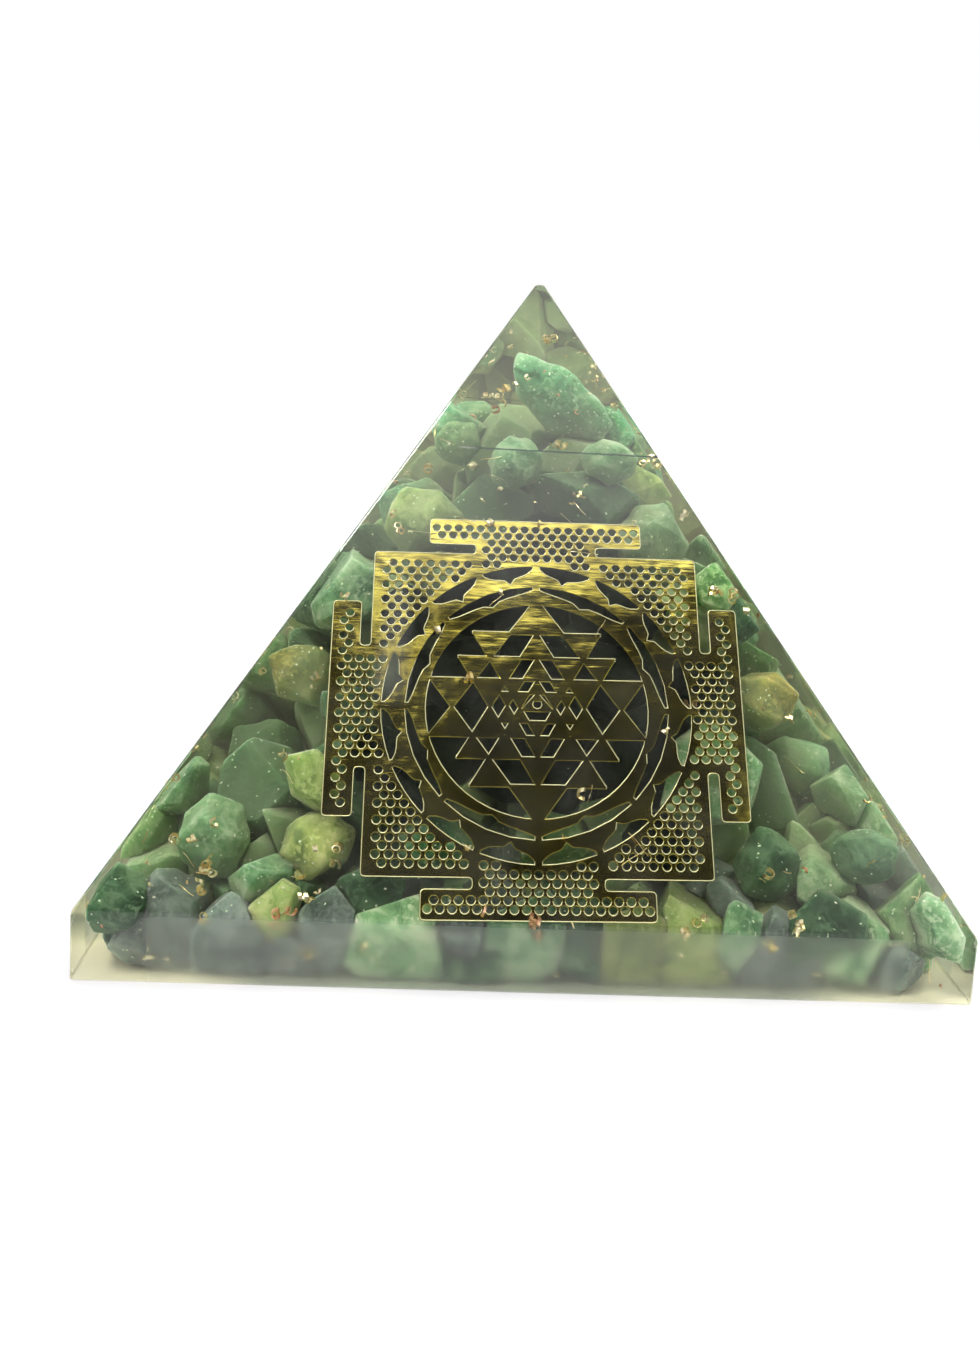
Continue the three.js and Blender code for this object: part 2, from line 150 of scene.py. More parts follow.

# Polyester resin, cast and polished: clear and glossy, with a faint waviness that the mould left
# in its faces and a thin haze of fine scuffs. Inside it's a little misty, and a long way through it
# turns light yellow. The plinth's sides blur what lies behind them, apart from a window at each
# corner. The ground base is frosted and cream at its corners. Under the stones it is painted grey,
# as a painted shade of them. The seam between two pours is a fine dark line.
seam_height = 40.5 * MM
seam_half_width = 0.07 * MM
seam_left = -7.5 * MM
seam_fade = 2 * MM
window_from = 66.5 * MM
window_fade = 2 * MM
# Where the painted shade of the stones on the base fades out, towards its corners.
unshaded_base_from = 62 * MM
base_shade_fade = 6 * MM
side_fade = 0.3 * MM
side_roughness = 0.6
side_milk = 0.04
ground_from = 0.08 * MM
ground_to = 0.2 * MM
ground_roughness = 0.6
ground_clearness = 0.12
seam_dulling = 0.6
wave_size = 11.11 * MM
wave_depth = 0.4 * MM
scuff_size = 3.846 * MM
resin_material = new_material("cast_polyester_resin")
place = add(resin_material, "ShaderNodeTexCoord").outputs["Object"]
wave = add(
    resin_material, "ShaderNodeTexNoise", {"Scale": 1 / wave_size, "Detail": 1.0},
    {"Vector": place},
)
ripple = add(
    resin_material, "ShaderNodeBump", {"Strength": 0.05, "Distance": wave_depth},
    {"Height": wave.outputs["Fac"]},
)
scuffs = add(
    resin_material, "ShaderNodeTexNoise", {"Scale": 1 / scuff_size, "Detail": 4.0},
    {"Vector": place},
)
clarity = add(
    resin_material, "ShaderNodeMapRange",
    {"From Min": 0.35, "From Max": 0.7, "To Min": 1.0, "To Max": 0.985},
    {"Value": scuffs.outputs["Fac"]},
)
spread = add(resin_material, "ShaderNodeSeparateXYZ", {}, {"Vector": place})
corner_x = add(resin_material, "ShaderNodeMath", {"operation": "ABSOLUTE"}, {0: spread.outputs["X"]})
corner_y = add(resin_material, "ShaderNodeMath", {"operation": "ABSOLUTE"}, {0: spread.outputs["Y"]})
cornering = add(
    resin_material, "ShaderNodeMath", {"operation": "ADD"},
    {0: corner_x.outputs["Value"], 1: corner_y.outputs["Value"]},
)
away_from_corner = add(
    resin_material, "ShaderNodeMapRange",
    {"From Min": window_from, "From Max": window_from - window_fade},
    {"Value": cornering.outputs["Value"]},
)
on_side = add(
    resin_material, "ShaderNodeMapRange",
    {"From Min": plinth_height, "From Max": plinth_height - side_fade},
    {"Value": spread.outputs["Z"]},
)
satin = add(
    resin_material, "ShaderNodeMath", {"operation": "MULTIPLY"},
    {0: on_side.outputs["Result"], 1: away_from_corner.outputs["Result"]},
)
side_glaze = add(
    resin_material, "ShaderNodeMath", {"operation": "MULTIPLY", 1: side_roughness},
    {0: satin.outputs["Value"]},
)
ground = add(
    resin_material, "ShaderNodeMapRange",
    {"From Min": ground_from, "From Max": ground_to, "To Min": ground_roughness, "To Max": 0.0},
    {"Value": spread.outputs["Z"]},
)
gloss = add(
    resin_material, "ShaderNodeMath", {"operation": "MAXIMUM"},
    {0: ground.outputs["Result"], 1: side_glaze.outputs["Value"]},
)
milky = add(
    resin_material, "ShaderNodeMapRange",
    {"From Min": ground_from, "From Max": ground_to, "To Min": ground_clearness, "To Max": 1.0},
    {"Value": spread.outputs["Z"]},
)
sides = add(
    resin_material, "ShaderNodeMath", {"operation": "MULTIPLY_ADD", 1: -side_milk},
    {0: satin.outputs["Value"], 2: milky.outputs["Result"]},
)
see_through = add(
    resin_material, "ShaderNodeMath", {"operation": "MINIMUM"},
    {0: sides.outputs["Value"], 1: clarity.outputs["Result"]},
)
seam_line = add(
    resin_material, "ShaderNodeMath", {"operation": "COMPARE", 1: seam_height, 2: seam_half_width},
    {0: spread.outputs["Z"]},
)
unbroken = add(
    resin_material, "ShaderNodeMapRange", {"From Min": 0.42, "From Max": 0.52},
    {"Value": wave.outputs["Fac"]},
)
from_left = add(
    resin_material, "ShaderNodeMapRange", {"From Min": seam_left, "From Max": seam_left + seam_fade},
    {"Value": spread.outputs["X"]},
)
seam_part = add(
    resin_material, "ShaderNodeMath", {"operation": "MULTIPLY"},
    {0: from_left.outputs["Result"], 1: unbroken.outputs["Result"]},
)
seam_shade = add(
    resin_material, "ShaderNodeMath", {"operation": "MULTIPLY"},
    {0: seam_line.outputs["Value"], 1: seam_part.outputs["Value"]},
)
# Painted shade: the ground base is painted grey under the stones, where their shade falls, and stays cream
# towards its corners.
stone_shade_on_base = add(
    resin_material, "ShaderNodeMapRange", {"From Min": unshaded_base_from, "From Max": unshaded_base_from - base_shade_fade},
    {"Value": cornering.outputs["Value"]},
)
base_tint_and_shade = add(
    resin_material, "ShaderNodeMix", {"data_type": "RGBA", 6: linear("fbf4da"), 7: linear("8c9488")},
    {0: stone_shade_on_base.outputs["Result"]},
)
ground_tint_and_shade = add(
    resin_material, "ShaderNodeMix", {"data_type": "RGBA", 7: linear("f6f7f0")},
    {0: milky.outputs["Result"], 6: base_tint_and_shade.outputs[2]},
)
resin_tint = add(
    resin_material, "ShaderNodeMix", {"data_type": "RGBA", 7: linear("3c4a40")},
    {0: seam_shade.outputs["Value"], 6: ground_tint_and_shade.outputs[2]},
)
dulled = add(
    resin_material, "ShaderNodeMath", {"operation": "MULTIPLY_ADD", 1: -seam_dulling},
    {0: seam_shade.outputs["Value"], 2: see_through.outputs["Value"]},
)
clear = add(
    resin_material, "ShaderNodeBsdfPrincipled", {"IOR": 1.5},
    {
        "Base Color": resin_tint.outputs[2], "Normal": ripple.outputs["Normal"],
        "Transmission Weight": dulled.outputs["Value"], "Roughness": gloss.outputs["Value"],
    },
)
passing = add(resin_material, "ShaderNodeBsdfTransparent", {"Color": linear("f4f6ea")})
path = add(resin_material, "ShaderNodeLightPath")
lit_through = add(
    resin_material, "ShaderNodeMixShader", {},
    {0: path.outputs["Is Shadow Ray"], 1: clear.outputs["BSDF"], 2: passing.outputs["BSDF"]},
)
yellowing = add(
    resin_material, "ShaderNodeVolumeAbsorption", {"Color": (1.0, 0.975, 0.25, 1), "Density": 24.0},
)
misting = add(
    resin_material, "ShaderNodeVolumeScatter", {"Color": (0.9, 0.96, 0.74, 1), "Density": 30.0},
)
depths = add(
    resin_material, "ShaderNodeAddShader", {},
    {0: yellowing.outputs["Volume"], 1: misting.outputs["Volume"]},
)
add(
    resin_material, "ShaderNodeOutputMaterial", {},
    {"Surface": lit_through.outputs["Shader"], "Volume": depths.outputs["Shader"]},
)
make_piece("resin_body", resin, resin_material, POURS)

# The aventurine chips
# Broken and lightly tumbled chips of green aventurine, a quartzite coloured by flakes of mica.
# Each keeps the place and the size of its solid, with its edges worn and its faces uneven.
# They were strewn by hand into each pour, and the next pour holds them.
STONE_TONES = {
    "teal": ("58a97a", "b4e0b8", "2b6846"),
    "sea": ("82ac80", "c4d8b6", "507858"),
    "green": ("618e56", "a8c492", "335a3a"),
    "dark": ("416048", "769674", "213a2a"),
    # deep: near black, a painted shade for the stones behind the plate, not a colour of the stone
    "deep": ("121a14", "242d22", "090e0a"),
    "grey": ("76847e", "9ca8a2", "525e5c"),
    "olive": ("94873a", "cfbe64", "4c461e"),
    "lime": ("a2b46c", "ced896", "6c8050"),
}
# The painted haze tones, which stand in for the light that the misty resin scatters over deep stones.
HAZE_PAINT_TONES = {tone: ("7c946e", "98ac88") for tone in STONE_TONES}
# Behind the plate the haze tone is near black too, so that the painted shade stays dark.
HAZE_PAINT_TONES["deep"] = ("121a14", "1a221a")
HAZE_PAINT_TONES["dark"] = ("5c7456", "6e886a")
HAZE_PAINT_TONES["grey"] = ("68746e", "828e88")
slope = math.atan2(high.z - plinth_height, shoulder_half - tip_half)
cloud_size = 3.2 * MM
vein_size = 4.0 * MM
grain_size = 0.45 * MM
lump_size = 1.6 * MM
mist_size = 14 * MM
mist_from = 1.2 * MM
mist_full = 7 * MM
flake_size = 0.16 * MM
lump_depth = 0.6 * MM
grain_depth = 0.2 * MM
glow_depth = 3.5 * MM
flakes_above = {
    "teal": 0.982, "sea": 0.993, "green": 0.99, "dark": 0.992,
    "deep": 0.9995, "grey": 0.996, "olive": 0.985, "lime": 0.996,
}


def half_width_at(height):
    """Half the body's width at a height on its slopes."""
    return tip_half + (high.z - height) / math.tan(slope)


# Aventurine, a translucent quartzite, broken and tumbled: soft clouds of colour, pale sugary veins,
# and mica flakes, drawn a little coarser than real ones so that they show: a little glossier, and
# painted pale as painted glints. The deeper a stone lies under the nearest face, the more its colour
# is mixed towards a haze tone: a painted haze, for the light that the misty resin scatters over it.
# Set in resin it hardly shines, because it bends light only a little more than the resin does.
def aventurine(tone):
    """The material of the stones of one tone."""
    middle, pale, deep = STONE_TONES[tone]
    material = new_material("aventurine_" + tone)
    where = add(material, "ShaderNodeTexCoord").outputs["Object"]
    cloud = add(
        material, "ShaderNodeTexNoise",
        {"Scale": 1 / cloud_size, "Detail": 9.0, "Roughness": 0.62, "Distortion": 0.6},
        {"Vector": where},
    )
    colours = add(material, "ShaderNodeValToRGB", {}, {"Fac": cloud.outputs["Fac"]})
    ramp = colours.color_ramp
    ramp.elements[0].position, ramp.elements[0].color = 0.36, linear(deep)
    ramp.elements[1].position, ramp.elements[1].color = 0.66, linear(pale)
    ramp.elements.new(0.5).color = linear(middle)
    seam = add(
        material, "ShaderNodeTexNoise", {"Scale": 1 / vein_size, "Detail": 5.0, "Distortion": 2.0},
        {"Vector": where},
    )
    vein = add(material, "ShaderNodeValToRGB", {}, {"Fac": seam.outputs["Fac"]})
    vein.color_ramp.elements[0].position, vein.color_ramp.elements[0].color = 0.475, (0, 0, 0, 1)
    vein.color_ramp.elements[1].position, vein.color_ramp.elements[1].color = 0.525, (0, 0, 0, 1)
    vein.color_ramp.elements.new(0.5).color = (0.3, 0.3, 0.3, 1)
    veined = add(
        material, "ShaderNodeMix", {"data_type": "RGBA", 7: linear(pale)},
        {0: vein.outputs["Color"], 6: colours.outputs["Color"]},
    )
    grains = add(
        material, "ShaderNodeTexNoise", {"Scale": 1 / grain_size, "Detail": 2.0},
        {"Vector": where},
    )
    frost = add(
        material, "ShaderNodeMapRange", {"From Min": 0.5, "From Max": 0.6, "To Max": 0.8},
        {"Value": grains.outputs["Fac"]},
    )
    frosty = add(
        material, "ShaderNodeMapRange", {"From Min": 0.46, "From Max": 0.58},
        {"Value": seam.outputs["Fac"]},
    )
    frosted = add(
        material, "ShaderNodeMath", {"operation": "MULTIPLY"},
        {0: frost.outputs["Result"], 1: frosty.outputs["Result"]},
    )
    sugary = add(
        material, "ShaderNodeMix", {"data_type": "RGBA", 7: linear(pale)},
        {0: frosted.outputs["Value"], 6: veined.outputs[2]},
    )
    each = add(material, "ShaderNodeNewGeometry").outputs["Random Per Island"]
    lightness = add(material, "ShaderNodeMapRange", {"To Min": 0.62, "To Max": 1.2}, {"Value": each})
    scrambled = add(material, "ShaderNodeMath", {"operation": "MULTIPLY", 1: 7.3}, {0: each})
    other_share = add(
        material, "ShaderNodeMath", {"operation": "FRACT"},
        {0: scrambled.outputs["Value"]},
    )
    hue = add(
        material, "ShaderNodeMapRange", {"To Min": 0.485, "To Max": 0.52},
        {"Value": other_share.outputs["Value"]},
    )
    varied = add(
        material, "ShaderNodeHueSaturation", {},
        {
            "Hue": hue.outputs["Result"], "Value": lightness.outputs["Result"],
            "Color": sugary.outputs[2],
        },
    )
    flakes = add(material, "ShaderNodeTexVoronoi", {"Scale": 1 / flake_size}, {"Vector": where})
    flake_tint = add(material, "ShaderNodeSeparateColor", {}, {"Color": flakes.outputs["Color"]})
    flake = add(
        material, "ShaderNodeMath", {"operation": "GREATER_THAN", 1: flakes_above[tone]},
        {0: flake_tint.outputs["Red"]},
    )
    axes = add(material, "ShaderNodeSeparateXYZ", {}, {"Vector": where})
    side_x = add(material, "ShaderNodeMath", {"operation": "ABSOLUTE"}, {0: axes.outputs["X"]})
    side_y = add(material, "ShaderNodeMath", {"operation": "ABSOLUTE"}, {0: axes.outputs["Y"]})
    aside = add(
        material, "ShaderNodeMath", {"operation": "MAXIMUM"},
        {0: side_x.outputs["Value"], 1: side_y.outputs["Value"]},
    )
    face = add(
        material, "ShaderNodeMath",
        {"operation": "MULTIPLY_ADD", 1: -1 / math.tan(slope), 2: half_width_at(0)},
        {0: axes.outputs["Z"]},
    )
    wall = add(
        material, "ShaderNodeMath", {"operation": "MINIMUM", 1: shoulder_half},
        {0: face.outputs["Value"]},
    )
    buried = add(
        material, "ShaderNodeMath", {"operation": "SUBTRACT"},
        {0: wall.outputs["Value"], 1: aside.outputs["Value"]},
    )
    # Painted haze: the deeper the stone lies under the nearest face, the more its colour goes to the haze
    # tone, standing in for light scattered over it by the misty resin.
    painted_haze = add(
        material, "ShaderNodeMapRange", {"From Min": mist_from, "From Max": mist_full, "To Max": 0.88},
        {"Value": buried.outputs["Value"]},
    )
    drift = add(
        material, "ShaderNodeTexNoise", {"Scale": 1 / mist_size, "Detail": 2.0},
        {"Vector": where},
    )
    painted_haze_tone = add(material, "ShaderNodeValToRGB", {}, {"Fac": drift.outputs["Fac"]})
    for stop, position, colour in zip(painted_haze_tone.color_ramp.elements, (0.4, 0.6), HAZE_PAINT_TONES[tone]):
        stop.position, stop.color = position, linear(colour)
    sunk = add(
        material, "ShaderNodeMix", {"data_type": "RGBA"},
        {0: painted_haze.outputs["Result"], 6: varied.outputs["Color"], 7: painted_haze_tone.outputs["Color"]},
    )
    # Painted glints: the mica flakes are painted pale. Their lower roughness below is their real shine.
    glint = add(
        material, "ShaderNodeMix", {"data_type": "RGBA", 7: linear("d6e4c8")},
        {0: flake.outputs["Value"], 6: sunk.outputs[2]},
    )
    shine = add(
        material, "ShaderNodeMapRange", {"To Min": 0.5, "To Max": 0.3},
        {"Value": flake.outputs["Value"]},
    )
    lumps = add(
        material, "ShaderNodeTexNoise", {"Scale": 1 / lump_size, "Detail": 3.0},
        {"Vector": where},
    )
    broken = add(
        material, "ShaderNodeBump", {"Strength": 0.6, "Distance": lump_depth},
        {"Height": lumps.outputs["Fac"]},
    )
    rough = add(
        material, "ShaderNodeBump", {"Strength": 0.4, "Distance": grain_depth},
        {"Height": grains.outputs["Fac"], "Normal": broken.outputs["Normal"]},
    )
    body = add(
        material, "ShaderNodeBsdfPrincipled",
        {
            "Subsurface Weight": 1.0, "Subsurface Radius": (0.7, 1.0, 0.75),
            "Subsurface Scale": glow_depth, "IOR": 1.04,
        },
        {
            "Base Color": glint.outputs[2], "Roughness": shine.outputs["Result"],
            "Normal": rough.outputs["Normal"],
        },
    )
    add(material, "ShaderNodeOutputMaterial", {}, {"Surface": body.outputs["BSDF"]})
    return material


stone_materials = {tone: aventurine(tone) for tone in STONE_TONES}
chip_slots = {
    part["node"]: part["material_slot"] for part in frame["record"]["subparts"]
    if part["node"].startswith("aventurine_chip_")
}
worn_edge = 0.22 * MM
swell_size = 2.8 * MM
swell_depth = 0.4 * MM
pit_size = 0.8 * MM
pit_depth = 0.14 * MM


def worn(stone, seed):
    """Rounds a stone's edges, then lets its faces wander as broken faces do."""
    bmesh.ops.bevel(
        stone, geom=list(stone.edges), offset=worn_edge, segments=2, profile=0.5,
        affect="EDGES", material=-1, clamp_overlap=True,
    )
    bmesh.ops.triangulate(stone, faces=stone.faces)
    bmesh.ops.subdivide_edges(stone, edges=stone.edges, cuts=2, use_grid_fill=True)
    stone.normal_update()
    shift = Vector((seed * 3.7, seed * 1.3, -seed * 2.1))
    for corner in stone.verts:
        swell = swell_depth * noise.noise(corner.co / swell_size + shift)
        pit = pit_depth * noise.noise(corner.co / pit_size + shift)
        corner.co += corner.normal * (swell + pit)
    for face in stone.faces:
        face.smooth = True


# The room behind the plate whose stones are painted near black, as a painted shade of the plate.
shade_depth = 11 * MM
shade_reach = 15.5 * MM
shade_height = 20.5 * MM
shade_rise = 0.5 * MM


def behind_plate(point, reach=0):
    """Whether a place lies in the shade behind the plate, where stones get the near-black deep tone as a
    painted shade.
    """
    depth = half_width_at(point.z) + point.y
    up = (point.z - shade_height) / math.sin(slope)
    inside = max(abs(point.x), -up, up - shade_rise) + reach / 2 < shade_reach
    return point.y < 0 and depth < shade_depth and inside


chip_trees = []
for number, (node, slot) in enumerate(sorted(chip_slots.items())):
    chip = bmesh.new()
    chip.from_mesh(frame["nodes"][node].data)
    bmesh.ops.remove_doubles(chip, verts=chip.verts, dist=0.001 * MM)
    bmesh.ops.dissolve_limit(chip, angle_limit=math.radians(8), verts=chip.verts, edges=chip.edges)
    chip_trees.append(BVHTree.FromBMesh(chip))
    tone = slot.replace("aventurine_", "")
    chip_middle = sum((corner.co for corner in chip.verts), Vector()) / len(chip.verts)
    # A dark chip behind the plate is painted near black: a painted shade of the plate.
    if tone == "dark" and behind_plate(chip_middle):
        tone = "deep"
    worn(chip, number)
    make_piece("stone_" + node, chip, stone_materials[tone], [node])

# The smaller stones
# The rest of the same broken stone, 3 to 9 mm, which fills the resin between the larger chips and
# is packed against them, a little deeper under the faces. The resin holds them. One mesh has those
# of one colour: they are paler and greyer low in the plinth, and painted near black behind the
# plate, as a painted shade of it.
fill_random = random.Random(21)
fill_reaches = [reach * MM for reach in (4.4, 3.4, 2.6, 2.0, 1.5)]
tries = 24000
smallest_below = 8 * MM
largest_above = 10 * MM
between_stones = 0.06 * MM
least_cover = 0.5 * MM
base_cover = 0.25 * MM
clear_corner = 65 * MM
plate_backs = 1.6 * MM
plate_reach = 18 * MM
fill_bevel = 0.14 * MM
chops = 9
hidden_depth = 8 * MM
near_face = 10 * MM
tip_stones = 39 * MM
plate_top = 36 * MM
square_size = 8.5 * MM
wall_room = 0.55
stone_room = 0.86
chip_room = 0.62
grey_below = 3 * MM
grey_share = 0.7


def wall_planes(point, reach, cover):
    """The planes that a stone near this point keeps behind, as a place and an outward direction."""
    planes = [(Vector((0, 0, base_cover)), Vector((0, 0, -1)))]
    for side in (Vector((1, 0, 0)), Vector((-1, 0, 0)), Vector((0, 1, 0)), Vector((0, -1, 0))):
        depth = cover
        beside_plate = abs(point.x) > plate_reach + reach or point.z > plate_top + reach
        if side.y < 0 and not beside_plate:
            depth = max(cover, plate_backs)
        wall = side * math.sin(slope) + Vector((0, 0, math.cos(slope)))
        shoulder = side * shoulder_half + Vector((0, 0, plinth_height))
        planes.append((shoulder - wall * depth, wall))
        planes.append((side * (shoulder_half - cover), side))
    return planes


# The lines of sight to each stone, as shares of its reach to the right and up.
SIGHTS = [
    (0, 0), (1.1, 0), (-1.1, 0), (0, 1.1), (0, -1.1), (0.8, 0.8), (-0.8, 0.8), (0.8, -0.8), (-0.8, -0.8),
]


def hides_chip(point, reach):
    """Whether a stone here would hide a chip that lies behind it, seen from a side near it."""
    for side in (Vector((math.copysign(1, point.x), 0, 0)), Vector((0, math.copysign(1, point.y), 0))):
        if half_width_at(point.z) - point.dot(side) > near_face:
            continue
        across = Vector((0, 0, 1)).cross(side)
        for inwards in (-(side * math.sin(slope) + Vector((0, 0, math.cos(slope)))), -side):
            along = across.cross(inwards)
            for right, up in SIGHTS:
                start = point + (across * right + along * up) * reach
                if any(tree.ray_cast(start, inwards, hidden_depth)[0] for tree in chip_trees):
                    return True
    return False


def near_chip(point, room):
    """Whether a chip lies within this room of a place, or around it."""
    for tree in chip_trees:
        spot, normal, index, gap = tree.find_nearest(point)
        if gap < room or (point - spot).dot(normal) < 0:
            return True
    return False


seeds = []
squares = {}
for reach in fill_reaches:
    for number in range(tries):
        right, back = fill_random.uniform(-34, 34), fill_random.uniform(-34, 34)
        point = Vector((right, back, fill_random.uniform(1, 53))) * MM
        if number % 3 == 0:
            point.z = fill_random.uniform(0.8, 6) * MM
        if reach == fill_reaches[-1] and point.z > smallest_below:
            continue
        if reach == fill_reaches[0] and point.z < largest_above:
            continue
        walls = wall_planes(point, 0, least_cover)
        if any((point - spot).dot(out) > -wall_room * reach for spot, out in walls):
            continue
        if abs(point.x) + abs(point.y) > clear_corner - reach and point.z < plinth_height:
            continue
        square = tuple(int(part // square_size) for part in point)
        around = [
            other for x in (-1, 0, 1) for y in (-1, 0, 1) for z in (-1, 0, 1)
            for other in squares.get((square[0] + x, square[1] + y, square[2] + z), ())
        ]
        if any((point - other).length < stone_room * (reach + size) for other, size in around):
            continue
        if near_chip(point, chip_room * reach) or hides_chip(point, reach):
            continue
        seeds.append((point, reach))
        squares.setdefault(square, []).append((point, reach))

seed_tree = KDTree(len(seeds))
for number, (point, reach) in enumerate(seeds):
    seed_tree.insert(point, number)
seed_tree.balance()
fills = {tone: bmesh.new() for tone in STONE_TONES}
for point, reach in seeds:
    cuts = []
    flat_way = Vector([fill_random.gauss(0, 1) for _ in range(3)]).normalized()
    flatness = fill_random.uniform(0.1, 0.55)
    for step in range(chops):
        tall = 1 - 2 * (step + 0.5) / chops
        angle = step * 2.4 + fill_random.uniform(-0.5, 0.5)
        flat = math.sqrt(1 - tall * tall)
        away = Vector((flat * math.cos(angle), flat * math.sin(angle), tall + fill_random.uniform(-0.2, 0.2)))
        away.normalize()
        squash = 1 - flatness * abs(away.dot(flat_way))
        room = 1.25 if point.z < smallest_below else 1
        cuts.append((point + away * reach * room * squash * fill_random.uniform(0.9, 1.7), away))
    if point.z < plinth_height:
        cover = fill_random.uniform(0.8, 2.2) * MM
    else:
        cover = fill_random.uniform(0.4, 0.75) * reach
    cuts += wall_planes(point, reach, cover)
    for tree in chip_trees:
        spot, normal, index, gap = tree.find_nearest(point)
        if gap < 1.4 * reach:
            away = (spot - point).normalized()
            cuts.append((spot - away * between_stones, away))
    for other, number, gap in seed_tree.find_range(point, 2.6 * reach):
        if gap > 0:
            away = (other - point).normalized()
            share = reach / (reach + seeds[number][1])
            cuts.append((point + away * (gap * share - between_stones / 2), away))
    bit = bmesh.new()
    bmesh.ops.create_cube(bit, size=3.8 * reach, matrix=Matrix.Translation(point))
    for spot, away in cuts:
        if bit.faces:
            bmesh.ops.bisect_plane(
                bit, geom=list(bit.verts) + list(bit.edges) + list(bit.faces), dist=0.00001 * MM,
                plane_co=spot, plane_no=away, clear_outer=True,
            )
            open_edges = [edge for edge in bit.edges if len(edge.link_faces) == 1]
            if open_edges:
                bmesh.ops.holes_fill(bit, edges=open_edges, sides=0)
    if len(bit.verts) < 4:
        bit.free()
        continue
    bmesh.ops.remove_doubles(bit, verts=bit.verts, dist=0.2 * MM)
    rounded = bmesh.ops.bevel(
        bit, geom=list(bit.edges), offset=fill_bevel, segments=1, profile=0.5,
        affect="EDGES", material=-1, clamp_overlap=True,
    )
    for face in rounded["faces"]:
        face.smooth = True
    tone = fill_random.choice(("sea", "sea", "green", "green", "dark", "dark", "lime"))
    if point.z < plinth_height and reach < grey_below and fill_random.random() < grey_share:
        tone = "grey"
    # Stones behind the plate are painted near black: a painted shade of the plate.
    if behind_plate(point, reach):
        tone = "deep"
    elif point.z > tip_stones:
        tone = "teal"
    loose = bpy.data.meshes.new("loose")
    bit.to_mesh(loose)
    bit.free()
    fills[tone].from_mesh(loose)
    bpy.data.meshes.remove(loose)
for tone, fill in fills.items():
    if not fill.faces:
        fill.free()
        continue
    bmesh.ops.recalc_face_normals(fill, faces=fill.faces)
    make_piece("small_stones_" + tone, fill, stone_materials[tone], [])

# The shri yantra plate
# A thin brass sheet, etched through and brushed, set under the front face before the resin cured.
# Its lines come from its solid, and its corner fields and gates are pierced by rows of small holes.
# The etching left a fine raised rim. It is drawn all round the sheet's outer edge, but in each
# opening only along the parts that look up or sideways, and in a paler colour: a painted highlight
# where light from above would catch the rim.
plate_node = frame["nodes"]["shri_yantra_plate"]
face_out = Vector((0, -math.sin(slope), math.cos(slope)))
face_up = Vector((0, math.cos(slope), math.sin(slope)))
face_right = Vector((1, 0, 0))
sheet_thickness = 0.3 * MM
rim_round = 0.05 * MM
# The raised rims: in the openings they are drawn only where light from above would catch them, as a painted
# highlight.
bead_radius = 0.068 * MM
bead_sunk = 0.022 * MM
rim_starts = 0.006 * MM
rim_turns = 0.3
hole_bead = 1.05
bead_end = 0.4
plate_tilt = 0.019

# The plate's layout, in its own millimetres: the square, its gates and the rows of small holes.
square_half = 14.16
gate_reach = 17.5
gate_arm_half = 9.38
gate_neck_half = 5.3
field_radius = 13.1
edge_room = 0.62
row_step = 0.69
field_pitch = 1.09
gate_pitch = 0.98
arm_middle = gate_reach - 1.2
arm_room = 0.55
arm_half = 0.72
side_shift = 0.25
neck_overlap = 0.5
ring_room = 0.5
hole_radius = 0.37 * MM
hole_corners = 10

sheet = bmesh.new()
sheet.from_mesh(plate_node.data)
bmesh.ops.remove_doubles(sheet, verts=sheet.verts, dist=0.002 * MM)
sheet.normal_update()
bmesh.ops.delete(
    sheet, geom=[face for face in sheet.faces if face.normal.dot(face_out) < 0.9], context="FACES",
)
rim_edges = {edge for edge in sheet.edges if len(edge.link_faces) == 1}
loops = []
while rim_edges:
    edge = rim_edges.pop()
    start, corner = edge.verts
    loop = [start.co.copy(), corner.co.copy()]
    while corner != start:
        edge = next(item for item in corner.link_edges if item in rim_edges)
        rim_edges.discard(edge)
        corner = edge.other_vert(corner)
        loop.append(corner.co.copy())
    loops.append(loop[:-1])
face_distance = sum(corner.co.dot(face_out) for corner in sheet.verts) / len(sheet.verts)
places_across = [corner.co.dot(face_right) for corner in sheet.verts]
places_up = [corner.co.dot(face_up) for corner in sheet.verts]
flat_middle = Vector((min(places_across) + max(places_across), min(places_up) + max(places_up))) / 2
sheet.free()


def in_plate(point):
    """A place on the sheet as seen on the plate itself, from its middle and along its sides."""
    flat = Vector((point.dot(face_right), point.dot(face_up))) - flat_middle
    return Matrix.Rotation(-plate_tilt, 2) @ flat


def hole_rows():
    """The middles of the small holes, in the plate's own millimetres."""
    places = []
    for row in range(-20, 21):
        v = row * row_step
        for column in range(-14, 15):
            u = (column + (row % 2) / 2) * field_pitch
            in_square = max(abs(u), abs(v)) < square_half - edge_room
            in_corner = min(abs(u), abs(v)) > gate_neck_half - 0.1
            if in_square and in_corner and math.hypot(u, v) > field_radius + ring_room:
                places.append((u, v))
    for quarter in range(4):
        sideways = quarter % 2 == 1
        sign = 1 if quarter < 2 else -1
        for row in range(-14, 15):
            for column in range(-10, 11):
                staggered = (column + (row % 2) / 2) * gate_pitch
                if sideways:
                    along, out = row * row_step, arm_middle + staggered - side_shift
                else:
                    along, out = staggered, arm_middle + (row + 0.5) * row_step
                in_arm = abs(along) < gate_arm_half - arm_room and abs(out - arm_middle) < arm_half
                in_neck = abs(along) < gate_neck_half - arm_room and out < arm_middle + neck_overlap
                if (in_arm or in_neck) and math.hypot(along, out) > field_radius + ring_room:
                    places.append((out * sign, along) if sideways else (along, out * sign))
    return places


curve = bpy.data.curves.new("plate_outline", "CURVE")
curve.dimensions = "2D"
curve.fill_mode = "BOTH"
curve.extrude = sheet_thickness / 2 - rim_round
curve.bevel_depth = rim_round
curve.bevel_resolution = 2
curve.offset = -rim_round
outlines = []


